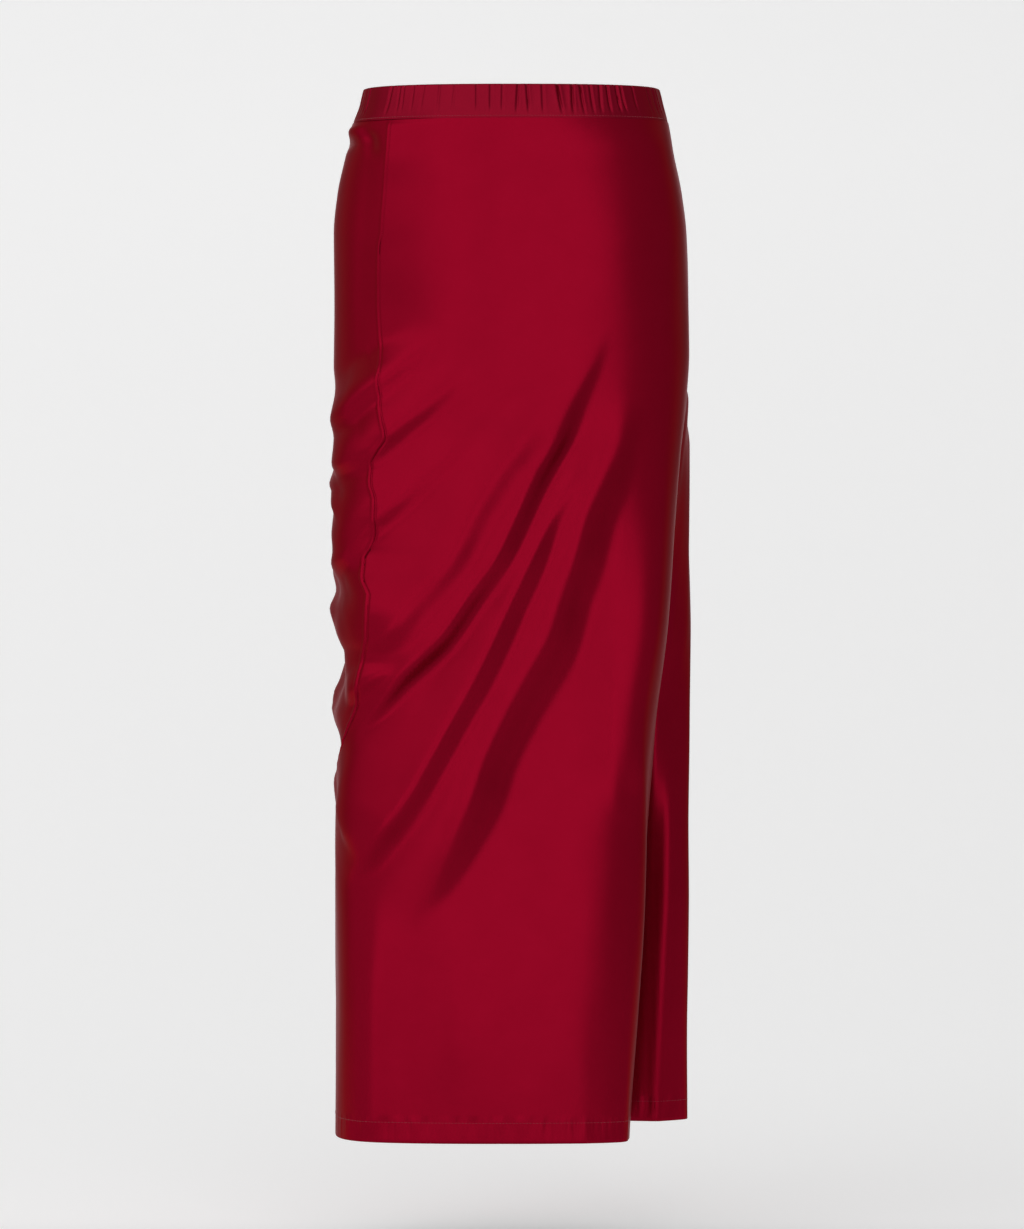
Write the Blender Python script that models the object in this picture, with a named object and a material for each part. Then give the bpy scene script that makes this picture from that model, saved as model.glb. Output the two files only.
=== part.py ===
"""Gathered maxi skirt: waistband, front panel and back panel, hollow and filled out as worn.

Sizes are in millimetres; wall() turns them into metres. The origin is the middle of the waistband:
+Z up, the front of the skirt towards -Y, and the gathered side seam on the -X side.
"across" is measured from the middle, as seen from the front; "drop" is measured down from the
origin; "round" is measured round the body from the side line on the -X side, plus towards the
front. A "turn" is an angle in plan: 0 at +X, -90 at the front, 90 at the back, -180 at -X.
"""
import bpy
import numpy as np

MM = 0.001

# Heights, as drops below the origin
BAND_TOP = -16.0
BAND_FOOT = 16.0
HEM = 981.0
HEM_DEPTH = 19.0

# Cloth
CLOTH = 1.5
STEEPEST = 0.7  # the level share of the slope up to which a wall that leans keeps its thickness
HEM_CLOTH = 2.0
BAND_CLOTH = 2.4
SEAM_GAP = 0.3
SIDE_SEAM_GAP = 0.65

# How finely each piece is faceted
FRONT_COLUMNS = 34
BACK_COLUMNS = 18
PANEL_ROWS = 41
BAND_COLUMNS = 60
BAND_ROWS = 2
FINEST_FOLD = 24.0
RING_TURNS = np.linspace(-180.0, 180.0, 721)


def columns(names, rows):
    """A table's columns by name."""
    return dict(zip(names.split(), np.array(rows, float).T))


# Half sizes of the body of the skirt, a row for each section, and how square its front corners
# are: 2 for an ellipse, more for a squarer corner
SECTIONS = columns("drop left right front back left_corner right_corner", [
    (-16, 142, 141, 103, 104, 2.5, 2.7),
    (0, 145, 144, 105, 106, 2.4, 2.8),
    (16, 152, 149, 107, 109, 2.3, 3.0),
    (46, 159, 154, 110, 112, 2.2, 3.9),
    (84, 168, 162, 115, 117, 1.95, 3.9),
    (122, 172, 167, 118, 121, 1.9, 3.9),
    (180, 172, 169, 120, 125, 1.9, 3.9),
    (240, 172, 170, 119, 126, 2.1, 3.9),
    (300, 171, 170, 117, 126, 3.0, 3.9),
    (400, 168, 170, 112, 127, 4.0, 3.9),
    (460, 166, 170, 110, 127, 4.4, 3.9),
    (560, 166, 170, 109, 128, 4.6, 3.9),
    (640, 168, 171, 112, 129, 4.8, 3.9),
    (720, 169, 171, 117, 130, 4.6, 3.9),
    (820, 169, 171, 121, 132, 4.5, 3.9),
    (980, 169, 171, 124, 134, 4.3, 3.9),
])
BACK_CORNERS = 2.7

# The deep vertical flute on the +X side. A row for each section: where the cloth passes, in plan
# (across, depth), at these turns, over the front lobe, through the valley and out to the back lobe.
FLUTE_TURNS = (-74, -64, -44, -24, -6, 12, 27, 39, 51, 63, 74, 84)
FLUTE_FRONT = -84
FLUTE_BACK = 124
FLUTE_TOP = 235
FLUTE_SECTIONS = {
    280: ((87, -116), (109, -113), (142, -98), (161, -72), (167, -32), (168, 6),
          (170, 27), (168, 49), (160, 71), (144, 92), (119, 109), (88, 120)),
    325: ((86, -115), (107, -113), (140, -99), (158, -72), (162, -32), (160, 6),
          (166, 27), (170, 47), (171, 66), (154, 91), (127, 109), (94, 120)),
    488: ((83, -111), (102, -112), (134, -107), (147, -75), (146, -30), (129, 14),
          (143, 40), (159, 53), (172, 70), (168, 94), (138, 115), (98, 124)),
    600: ((81, -111), (96, -113), (122, -106), (134, -71), (135, -26), (116, 22),
          (122, 56), (141, 54), (159, 64), (171, 86), (143, 118), (102, 127)),
    700: ((86, -113), (105, -108), (127, -90), (129, -55), (128, -18), (108, 28),
          (114, 64), (137, 62), (158, 62), (171, 84), (146, 119), (106, 130)),
    980: ((80, -119.5), (101, -112), (110, -90), (111, -52), (109, -10), (96, 34),
          (105, 61.5), (126, 60), (147, 59.5), (172, 84), (153, 121), (110, 136)),
}

# Where the side seams run. The -X seam lies forward of the side and is gathered for a stretch.
LEFT_SEAM = columns("drop round", [
    (16, 90), (60, 97), (121, 100), (187, 97), (220, 101), (253, 112), (286, 119), (316, 130),
    (342, 115), (377, 122), (403, 122), (430, 110), (466, 118), (502, 117), (556, 107), (590, 90),
    (620, 58), (640, 34), (670, 13), (700, 2), (760, -6), (980, -10),
])
# The other seam is on the back: its distance from the -X side line, round the back
RIGHT_SEAM = columns("drop back", [(16, 352), (84, 378), (180, 395), (400, 402), (980, 408)])

# The crease that the -X seam makes: how far it stands out and how wide it falls to each side
SEAM_CREASE = columns("drop height front side", [
    (16, 2, 80, 22), (60, 3.5, 110, 28), (150, 3.5, 110, 28), (240, 2, 90, 28), (300, 4, 50, 30),
    (420, 4, 50, 30), (560, 3, 40, 30), (620, 1, 40, 30), (700, 0, 40, 30), (980, 0, 40, 30),
])

# How far the outline on the -X side swells out and draws in along the gathers
SIDE_SWELLS = columns("drop out", [
    (250, 0), (290, -4), (330, -4), (360, -1), (385, 1), (424, -3), (445, 0), (484, 4), (520, -9),
    (545, -7), (578, 4), (612, -7), (640, -2), (700, 0),
])
SIDE_REACH = 95.0

# Folds, a row each: height (minus for a trough), width of the gentle side, width of the steep side,
# shares of the length over which it starts and ends, and the route of the steep side's middle.
# Front folds run from their upper end down to the gathered seam, in (across, drop).
FRONT_FOLDS = (
    (20.5, 110, 26, 0.45, 0.22, ((94, 208), (65, 281), (29, 357), (-7, 432), (-59, 507), (-127, 582),
                               (-150, 605))),
    (20.5, 80, 44, 0.25, 0.28, ((121, 272), (111, 319), (83, 394), (61, 469), (29, 544), (-10, 619),
                                 (-41, 695), (-82, 766), (-100, 790))),
    (18.5, 95, 31, 0.33, 0.18, ((75, 310), (42, 394), (9, 469), (-26, 544), (-67, 619), (-115, 695),
                                (-160, 742))),
    (17, 90, 36, 0.62, 0.22, ((56, 255), (20, 319), (-26, 394), (-76, 469), (-130, 526), (-146, 536))),
    (11, 60, 24, 0.45, 0.35, ((-11, 281), (-51, 333), (-105, 385), (-150, 434), (-190, 466))),
    (12, 60, 24, 0.45, 0.30, ((-25, 243), (-63, 281), (-109, 319), (-160, 349), (-190, 352))),
    (13, 50, 24, 0.35, 0.35, ((-68, 214), (-105, 259), (-135, 282), (-168, 308), (-190, 320))),
    (2.5, 28, 26, 0.50, 0.10, ((-116, 730), (-122, 850), (-126, 980))),
    (1.5, 34, 30, 0.50, 0.40, ((-40, 760), (-44, 880), (-50, 970))),
)
# Side and back folds run from the seam outwards, in (round, drop).
BACK_FOLDS = (
    (9, 50, 20, 0.12, 0.30, ((20, 590), (-60, 540), (-140, 455), (-210, 360), (-270, 262), (-300, 205))),
    (8, 46, 26, 0.12, 0.30, ((10, 680), (-70, 640), (-150, 560), (-220, 455), (-275, 350), (-310, 270))),
    (6, 42, 22, 0.12, 0.40, ((60, 500), (-20, 455), (-90, 388), (-150, 310), (-190, 240))),
    (5, 36, 18, 0.12, 0.40, ((80, 395), (10, 360), (-60, 305), (-110, 250))),
    (6, 46, 34, 0.20, 0.40, ((-60, 780), (-130, 710), (-200, 610), (-260, 500), (-300, 400))),
    (3, 30, 28, 0.40, 0.10, ((-90, 760), (-96, 870), (-100, 985))),
    (3, 34, 30, 0.40, 0.10, ((-210, 740), (-218, 860), (-224, 985))),
)

# The front folds die out between these distances behind and before the -X side line, the others
# this far from the gathered seam
FRONT_FADE = (20.0, 90.0)
BACK_FADE = 30.0


def through(stations, values, at):
    """A smooth curve through a table's values that never swings past them."""
    values = np.asarray(values, float)
    flat = (1,) * (values.ndim - 1)
    secants = np.diff(values, axis=0) / np.diff(stations).reshape(-1, *flat)
    product = secants[:-1] * secants[1:]
    total = np.where(product > 0, secants[:-1] + secants[1:], 1.0)
    middle = np.where(product > 0, 2 * product / total, 0.0)
    slopes = np.concatenate([secants[:1], middle, secants[-1:]])
    i = np.clip(np.searchsorted(stations, at) - 1, 0, len(stations) - 2)
    span = (stations[i + 1] - stations[i]).reshape(np.shape(at) + flat)
    u = np.clip((at - stations[i]).reshape(np.shape(at) + flat) / span, 0.0, 1.0)
    rise = values[i + 1] - values[i]
    start, end = slopes[i] * span, slopes[i + 1] * span
    return values[i] + u * (start + u * (3 * rise - 2 * start - end + u * (start + end - 2 * rise)))


def ease(u):
    """0 to 1 with a soft start and end."""
    u = np.clip(u, 0.0, 1.0)
    return u * u * (3 - 2 * u)


def plain_ring(turns, drop):
    """The body of the skirt in plan at one drop, without the flute."""
    left, right, front, back = (through(SECTIONS["drop"], SECTIONS[side], drop)
                                for side in ("left", "right", "front", "back"))
    cosine, sine = np.cos(np.radians(turns)), np.sin(np.radians(turns))
    left_corner, right_corner = (through(SECTIONS["drop"], SECTIONS[corner], drop)
                                 for corner in ("left_corner", "right_corner"))
    power = 2 / np.where(sine > 0, BACK_CORNERS, np.where(cosine < 0, left_corner, right_corner))
    across = np.where(cosine > 0, right, left) * np.sign(cosine) * np.abs(cosine) ** power
    depth = np.where(sine > 0, back, front) * np.sign(sine) * np.abs(sine) ** power
    return np.stack([across, depth], axis=-1)


def flute_shifts():
    """How far the flute moves the plain ring at its stations, for each of its sections."""
    turns = np.array(FLUTE_TURNS, float)
    still = np.zeros((len(turns), 2))
    moved = [np.array(places) - plain_ring(turns, drop) for drop, places in FLUTE_SECTIONS.items()]
    return np.array([FLUTE_TOP - 50, FLUTE_TOP, *FLUTE_SECTIONS], float), np.stack([still, still, *moved])


FLUTE_DROPS, FLUTE_SHIFTS = flute_shifts()
FLUTE_STATIONS = np.array([FLUTE_FRONT - 10, FLUTE_FRONT, *FLUTE_TURNS, FLUTE_BACK, FLUTE_BACK + 10], float)


def ring(drop):
    """The whole ring in plan at one drop, and the distance round it from the -X side line."""
    still = np.zeros((2, 2))
    shifts = np.vstack([still, through(FLUTE_DROPS, FLUTE_SHIFTS, drop), still])
    shift = np.stack([through(FLUTE_STATIONS, shifts[:, axis], RING_TURNS) for axis in (0, 1)], axis=-1)
    points = plain_ring(RING_TURNS, drop) + shift
    lengths = np.linalg.norm(np.diff(points, axis=0), axis=1)
    return points, np.concatenate([[0.0], np.cumsum(lengths)])


def round_of(across, drop):
    """Distance round the body of a place seen from the front; past the side line it runs on."""
    points, rounds = ring(drop)
    seen = RING_TURNS < -10
    side = points[0, 0]
    return np.interp(across, points[seen, 0], rounds[seen]) + min(across - side, 0.0)


def route_line(route):
    """A fold's route as a smooth line of points."""
    route = np.array(route, float)
    steps = np.linalg.norm(np.diff(route, axis=0), axis=1)
    stations = np.concatenate([[0.0], np.cumsum(steps)])
    return through(stations, route, np.linspace(0, stations[-1], 4 * len(route)))


def fold_heights(folds, rounds, drops):
    """Height of all the folds at places given by distance round and drop."""
    places = np.stack([rounds.ravel(), drops.ravel()], axis=-1)
    heights = np.zeros(len(places))
    for height, gentle, steep, start, end, route in folds:
        steep = max(steep, FINEST_FOLD)
        line = route_line(route)
        legs = np.diff(line, axis=0)
        lengths = np.linalg.norm(legs, axis=1)
        offsets = places[:, None, :] - line[None, :-1, :]
        share = np.clip((offsets * legs).sum(-1) / lengths ** 2, 0, 1)
        gaps = np.linalg.norm(offsets - share[..., None] * legs, axis=-1)
        nearest = gaps.argmin(axis=1)
        rows = np.arange(len(places))
        leg, offset = legs[nearest], offsets[rows, nearest]
        side = np.sign(leg[:, 1] * offset[:, 0] - leg[:, 0] * offset[:, 1])
        off = side * gaps[rows, nearest] + steep / 2
        walked = np.concatenate([[0.0], np.cumsum(lengths)])[nearest] + share[rows, nearest] * lengths[nearest]
        along = walked / lengths.sum()
        gentle = gentle * (0.5 + 0.5 * ease(along / 0.5))
        profile = np.where(off < 0, ease(1 + off / gentle), 1 - ease(off / steep))
        heights += height * profile * ease(along / start) * ease((1 - along) / end)
    return heights.reshape(rounds.shape)


def seam_crease(aways, drops):
    """How far the cloth stands out beside the gathered seam."""
    height, front, side = (through(SEAM_CREASE["drop"], SEAM_CREASE[name], drops[:, :1])
                           for name in ("height", "front", "side"))
    reach = np.where(aways > 0, front, side)
    return height * np.clip(1 - np.abs(aways) / reach, 0, 1) ** 1.5


def side_swell(rounds, drops):
    """How far the -X side swells out or draws in."""
    return through(SIDE_SWELLS["drop"], SIDE_SWELLS["out"], drops) * np.exp(-(rounds / SIDE_REACH) ** 2)


def front_routes():
    """The front folds with their routes turned from (across, drop) to (round, drop)."""
    return tuple((*sizes, tuple((round_of(across, drop), drop) for across, drop in route))
                 for *sizes, route in FRONT_FOLDS)


def cloth_rows():
    """The drops of the panels' rows, with the last row but one at the top of the hem."""
    return np.append(np.linspace(BAND_FOOT + SEAM_GAP / 2, HEM - HEM_DEPTH, PANEL_ROWS), HEM)


def cloth_grid():
    """Outer points of both panels in rows, once round from the gathered seam through the front."""
    drops = cloth_rows()
    places, rounds, outwards, aways = [], [], [], []
    for drop in drops:
        points, lengths = ring(drop)
        left = through(LEFT_SEAM["drop"], LEFT_SEAM["round"], drop)
        right = lengths[-1] - through(RIGHT_SEAM["drop"], RIGHT_SEAM["back"], drop)
        front = np.linspace(left, right, FRONT_COLUMNS + 1)
        back = np.linspace(right - lengths[-1], left, BACK_COLUMNS + 1)
        steps = np.gradient(points, axis=0)
        normals = np.stack([steps[:, 1], -steps[:, 0]], axis=-1)
        normals /= np.linalg.norm(normals, axis=1)[:, None]
        run = np.concatenate([front[:-1], back[:-1]])
        wrapped = np.mod(run, lengths[-1])
        places.append([np.interp(wrapped, lengths, points[:, axis]) for axis in (0, 1)])
        outwards.append([np.interp(wrapped, lengths, normals[:, axis]) for axis in (0, 1)])
        rounds.append(run)
        aways.append(run - left)
    rounds, aways = np.array(rounds), np.array(aways)
    drops = np.repeat(drops[:, None], rounds.shape[1], axis=1)
    before = ease((rounds + FRONT_FADE[0]) / (FRONT_FADE[0] + FRONT_FADE[1]))
    behind = ease(np.where(aways > 0, 0.0, -aways / BACK_FADE))
    heights = before * fold_heights(front_routes(), rounds, drops)
    heights += behind * fold_heights(BACK_FOLDS, rounds, drops)
    heights += seam_crease(aways, drops) + side_swell(rounds, drops)
    plan = np.array(places) + heights[:, None, :] * np.array(outwards)
    return np.stack([plan[:, 0], plan[:, 1], -drops], axis=-1)


def outward(grid):
    """Outward normals of a grid that closes on itself round the body."""
    round_step = np.roll(grid, -1, axis=1) - np.roll(grid, 1, axis=1)
    down_step = np.gradient(grid, axis=0)
    normals = np.cross(down_step, round_step)
    return normals / np.linalg.norm(normals, axis=2)[..., None]


def split(grid, row, column):
    """The corners of the two triangles of one cell of a grid, which meet at its shorter diagonal."""
    corners = [(row, column), (row + 1, column), (row + 1, column + 1), (row, column + 1)]
    count = grid.shape[1]
    places = [grid[place, number % count] for place, number in corners]
    if np.linalg.norm(places[1] - places[3]) < np.linalg.norm(places[0] - places[2]):
        corners = corners[1:] + corners[:1]
    return corners[:3], [corners[0], corners[2], corners[3]]


def wall(name, outer, inner, colour, roughness, closed):
    """A cloth wall between two grids of points, as one closed solid with its own material."""
    rows, count = outer.shape[:2]
    points = np.concatenate([outer.reshape(-1, 3), inner.reshape(-1, 3)]) * MM
    inside = rows * count

    def index(row, column, layer):
        return layer * inside + row * count + column % count

    faces = []
    for column in range(count if closed else count - 1):
        for row in range(rows - 1):
            for corners in split(outer, row, column):
                faces.append([index(*corner, 0) for corner in corners])
                faces.append([index(*corner, 1) for corner in reversed(corners)])
        faces.append([index(0, column + 1, 0), index(0, column + 1, 1), index(0, column, 1), index(0, column, 0)])
        foot = rows - 1
        faces.append([index(foot, column, 0), index(foot, column, 1),
                      index(foot, column + 1, 1), index(foot, column + 1, 0)])
    if not closed:
        for row in range(rows - 1):
            end = count - 1
            faces.append([index(row, 0, 0), index(row, 0, 1), index(row + 1, 0, 1), index(row + 1, 0, 0)])
            faces.append([index(row + 1, end, 0), index(row + 1, end, 1), index(row, end, 1), index(row, end, 0)])
    mesh = bpy.data.meshes.new(name)
    mesh.from_pydata(points.tolist(), [], faces)
    mesh.validate()
    mesh.shade_smooth()
    solid = bpy.data.objects.new(name, mesh)
    bpy.context.scene.collection.objects.link(solid)
    mesh.materials.append(cloth_material(name, colour, roughness))
    return solid


def cloth_material(name, colour, roughness):
    """Plain cloth finish for one piece."""
    material = bpy.data.materials.new(name + "_cloth")
    material.use_nodes = True
    shader = material.node_tree.nodes["Principled BSDF"]
    shader.inputs["Base Color"].default_value = colour
    shader.inputs["Roughness"].default_value = roughness
    shader.inputs["Metallic"].default_value = 0.0
    return material


def trimmed(grid):
    """A panel's grid with both side edges drawn back by half the seam gap."""
    grid = grid.copy()
    for edge, beside in ((0, 1), (-1, -2)):
        along = grid[:, beside] - grid[:, edge]
        along /= np.linalg.norm(along, axis=1)[:, None]
        grid[:, edge] += along * SIDE_SEAM_GAP / 2
    return grid


def panels():
    """The front and back panels, cut apart at the two side seams."""
    outer = cloth_grid()
    thickness = np.full(len(outer), CLOTH)
    thickness[-2:] = HEM_CLOTH
    normals = outward(outer)
    level = np.maximum(np.hypot(normals[..., 0], normals[..., 1]), STEEPEST)
    inner = outer - normals * (thickness[:, None] / level ** 2)[..., None]
    inner[..., 2] = outer[..., 2]
    outer = np.concatenate([outer, outer[:, :1]], axis=1)
    inner = np.concatenate([inner, inner[:, :1]], axis=1)
    red = (0.258, 0.003, 0.017, 1.0)
    front = slice(0, FRONT_COLUMNS + 1)
    back = slice(FRONT_COLUMNS, FRONT_COLUMNS + BACK_COLUMNS + 1)
    wall("front_panel", trimmed(outer[:, front]), trimmed(inner[:, front]), red, 0.42, closed=False)
    wall("back_panel", trimmed(outer[:, back]), trimmed(inner[:, back]), red, 0.42, closed=False)


def waistband():
    """The elastic waistband: a closed ring, its outside drawn up in small gathers."""
    drops = np.linspace(BAND_TOP, BAND_FOOT - SEAM_GAP / 2, BAND_ROWS + 1)
    gather_height = 0.6
    rows = []
    for drop in drops:
        points, lengths = ring(drop)
        run = np.linspace(0, lengths[-1], BAND_COLUMNS, endpoint=False)
        plan = np.stack([np.interp(run, lengths, points[:, axis]) for axis in (0, 1)], axis=-1)
        rows.append(np.column_stack([plan, np.full(BAND_COLUMNS, -drop)]))
    middle = np.array(rows)
    normals = outward(middle)
    number = np.arange(BAND_COLUMNS)
    gathers = gather_height * (number % 2) * (0.7 + 0.3 * np.sin(1.7 * number))
    outer = middle + normals * gathers[None, :, None]
    inner = middle - normals * BAND_CLOTH
    outer[..., 2] = middle[..., 2]
    inner[..., 2] = middle[..., 2]
    wall("waistband", outer, inner, (0.245, 0.004, 0.019, 1.0), 0.45, closed=True)


for old in list(bpy.data.objects):
    bpy.data.objects.remove(old)
panels()
waistband()
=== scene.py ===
"""Gathered maxi skirt in deep red satin jersey, hollow and filled out as worn.

Sizes are in millimetres, as in the cut; solid_mesh() turns them into metres. The origin is the
middle of the waistband: +Z up, the front towards -Y, the gathered side seam on the -X side.
"across" is measured from the middle, as seen from the front; "drop" is measured down from the
origin; "round" is measured round the body from the side line on the -X side, plus towards the
front. A "turn" is an angle in plan: 0 at +X, -90 at the front, 90 at the back, -180 at -X.
"""
import math

import bpy
import numpy as np
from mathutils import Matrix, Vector


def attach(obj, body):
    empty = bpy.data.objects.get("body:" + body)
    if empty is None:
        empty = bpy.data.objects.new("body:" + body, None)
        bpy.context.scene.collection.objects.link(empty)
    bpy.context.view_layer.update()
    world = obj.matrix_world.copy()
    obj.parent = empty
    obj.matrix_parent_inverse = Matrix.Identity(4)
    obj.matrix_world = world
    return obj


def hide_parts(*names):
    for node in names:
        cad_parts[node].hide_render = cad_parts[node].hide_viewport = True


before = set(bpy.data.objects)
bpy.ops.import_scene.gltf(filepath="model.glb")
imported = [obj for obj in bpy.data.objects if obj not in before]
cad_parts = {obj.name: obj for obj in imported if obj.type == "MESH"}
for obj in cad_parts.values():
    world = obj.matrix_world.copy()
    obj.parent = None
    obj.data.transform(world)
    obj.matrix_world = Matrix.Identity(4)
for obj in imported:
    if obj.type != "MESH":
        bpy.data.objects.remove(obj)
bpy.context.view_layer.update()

MM = 0.001

# ---------------------------------------------------------------- sizes

# Drops of the waistband's edges and of the hem, and how far the hem is turned up
BAND_TOP = -16.0
BAND_FOOT = 16.0
HEM = 981.0
HEM_DEPTH = 19.0
HEM_EDGE = 0.5  # its raw edge, above the stitches

# Thickness of one layer of cloth, of the hem and of the waistband
JERSEY = 0.7
HEM_CLOTH = 1.6
BAND_CLOTH = 2.4
SEAM_GAP = 0.1

# The waistband bellies out, has a groove along its seam, and its seam allowance laps the panels
BAND_BELLY = 0.9
BAND_GROOVE = 0.2
GROOVE_REACH = 1.5
BAND_LAP = 7.0
LAP_START = 0.3

# The turns at which a ring is worked out
RING_TURNS = np.linspace(-180.0, 180.0, 721)
SEEN_TURNS = RING_TURNS < -10  # the part of the ring that is seen from the front
WRAP_DROP = 300.0  # where the distance round is taken that wraps the distances from the seam


def columns(names, rows):
    """A table's columns by name."""
    return dict(zip(names.split(), np.array(rows, float).T))


# Half sizes of the body of the skirt, a row for each section, and how square its front corners
# are: 2 for an ellipse, more for a squarer corner
SECTIONS = columns("drop left right front back left_corner right_corner", [
    (-16, 142, 141, 103, 104, 2.5, 2.7),
    (0, 145, 144, 105, 106, 2.4, 2.8),
    (16, 152, 149, 107, 109, 2.3, 3.0),
    (46, 159, 154, 110, 112, 2.2, 3.9),
    (84, 168, 162, 115, 117, 1.95, 3.9),
    (122, 172, 167, 118, 121, 1.9, 3.9),
    (180, 172, 169, 120, 125, 1.9, 3.9),
    (240, 172, 170, 119, 126, 2.1, 3.9),
    (300, 171, 170, 117, 126, 3.0, 3.9),
    (400, 168, 170, 112, 127, 4.0, 3.9),
    (460, 166, 170, 110, 127, 4.4, 3.9),
    (560, 166, 170, 109, 128, 4.6, 3.9),
    (640, 168, 171, 112, 129, 4.8, 3.9),
    (720, 169, 171, 117, 130, 4.6, 3.9),
    (820, 169, 171, 121, 132, 4.5, 3.9),
    (980, 169, 171, 124, 134, 4.3, 3.9),
])
BACK_CORNERS = 2.7

# The deep vertical flute on the +X side. A row for each section: where the cloth passes, in plan
# (across, depth), at these turns, over the front lobe, through the valley and out to the back lobe.
FLUTE_TURNS = (-74, -64, -44, -24, -6, 12, 27, 39, 51, 63, 74, 84)
FLUTE_FRONT = -84
FLUTE_BACK = 124
FLUTE_TOP = 235
FLUTE_SECTIONS = {
    280: ((87, -116), (109, -113), (142, -98), (161, -72), (167, -32), (168, 6),
          (170, 27), (168, 49), (160, 71), (144, 92), (119, 109), (88, 120)),
    325: ((86, -115), (107, -113), (140, -99), (158, -72), (162, -32), (160, 6),
          (166, 27), (170, 47), (171, 66), (154, 91), (127, 109), (94, 120)),
    488: ((83, -111), (102, -112), (134, -107), (147, -75), (146, -30), (129, 14),
          (143, 40), (159, 53), (172, 70), (168, 94), (138, 115), (98, 124)),
    600: ((81, -111), (96, -113), (122, -106), (134, -71), (135, -26), (116, 22),
          (122, 56), (141, 54), (159, 64), (171, 86), (143, 118), (102, 127)),
    700: ((86, -113), (105, -108), (127, -90), (129, -55), (128, -18), (108, 28),
          (114, 64), (137, 62), (158, 62), (171, 84), (146, 119), (106, 130)),
    980: ((80, -119.5), (101, -112), (110, -90), (111, -52), (109, -10), (96, 34),
          (105, 61.5), (126, 60), (147, 59.5), (172, 84), (153, 121), (110, 136)),
}

# Where the side seams run. The -X seam lies forward of the side and is gathered for a stretch.
LEFT_SEAM = columns("drop round", [
    (16, 90), (60, 97), (121, 100), (137, 97), (187, 97), (220, 101), (253, 112), (286, 119),
    (302, 126), (316, 130), (330, 122), (342, 115), (358, 116), (377, 122), (403, 122), (419, 117),
    (430, 110), (447, 110), (466, 118), (502, 117), (530, 110), (556, 107), (575, 100), (590, 90),
    (607, 76), (620, 58), (640, 34), (670, 13), (700, 2), (760, -6), (980, -10),
])
# The other seam is on the back: its distance from the -X side line, round the back
RIGHT_SEAM = columns("drop back", [(16, 352), (84, 378), (180, 395), (400, 402), (980, 408)])

# The crease that the -X seam makes: how far it stands out and how wide it falls to each side
SEAM_CREASE = columns("drop height front side", [
    (16, 2, 80, 22), (60, 3.5, 110, 28), (150, 3.5, 110, 28), (240, 2, 90, 28), (300, 4, 50, 30),
    (420, 4, 50, 30), (560, 3, 40, 30), (620, 1, 40, 30), (700, 0, 40, 30), (980, 0, 40, 30),
])

# How far the outline on the -X side swells out and draws in along the gathers
SIDE_SWELLS = columns("drop out reach", [
    (250, 0, 95), (280, -3, 95), (300, -4, 95), (316, -3, 95), (330, -5, 95), (347, -4, 95), (355, -1, 95),
    (361, 1, 95), (367, -1, 95), (375, 0, 95), (386, 2, 95), (405, 1, 95), (424, -4, 95), (443, 1, 95),
    (462, -3, 95), (481, 4, 95), (491, 5, 95), (501, 3, 95), (511, -3, 95), (520, -10, 95),
    (530, -10, 95), (540, -9, 90), (550, -7, 85), (560, -2, 80), (570, 2, 75), (578, 5, 70),
    (587, 4, 65), (597, -1, 60), (606, -8, 55), (612, -13, 50), (618, -8, 50), (627, -3, 50),
    (640, -1, 50), (655, -2, 60), (675, 0, 60), (700, 0, 60),
])

# The seam itself: a thin ridge beside a narrow groove, and small puckers across it where it is
# gathered (place away from the seam, width, height; a groove is minus)
SEAM_PROFILE = ((-2.2, 1.4, 0.7), (0.4, 1.0, -1.0))
GATHERING = columns("drop strength", [(16, 0.35), (200, 0.45), (260, 0.7), (320, 1), (600, 1), (640, 0.6),
                                      (700, 0.4), (980, 0.3)])
PUCKER_SPACING = 8.0
PUCKER_REACH = 9.0
PUCKER_HEIGHT = 0.3
PUCKER_BEAT = 1.63  # a second row of puckers, this much wider apart
PUCKER_PHASE = 1.0
CREASE_POWER = 1.5

# The puff of loose cloth under the waistband near the -X side and the crease beside it: place round
# and drop of the middle, half width and half length, and lean (round for each of drop)
PUFFS = columns("height round drop width length lean", [
    (4.0, 30, 24, 24, 6, 0.0), (-4.0, 64, 34, 10, 11, 0.9), (-3.5, 16, 36, 28, 5, 0.0),
])
# Just under the waistband the folds keep this share of their height, and all of it below the fade
WAIST_HOLD = 0.1
WAIST_FADE = 6.0

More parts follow.
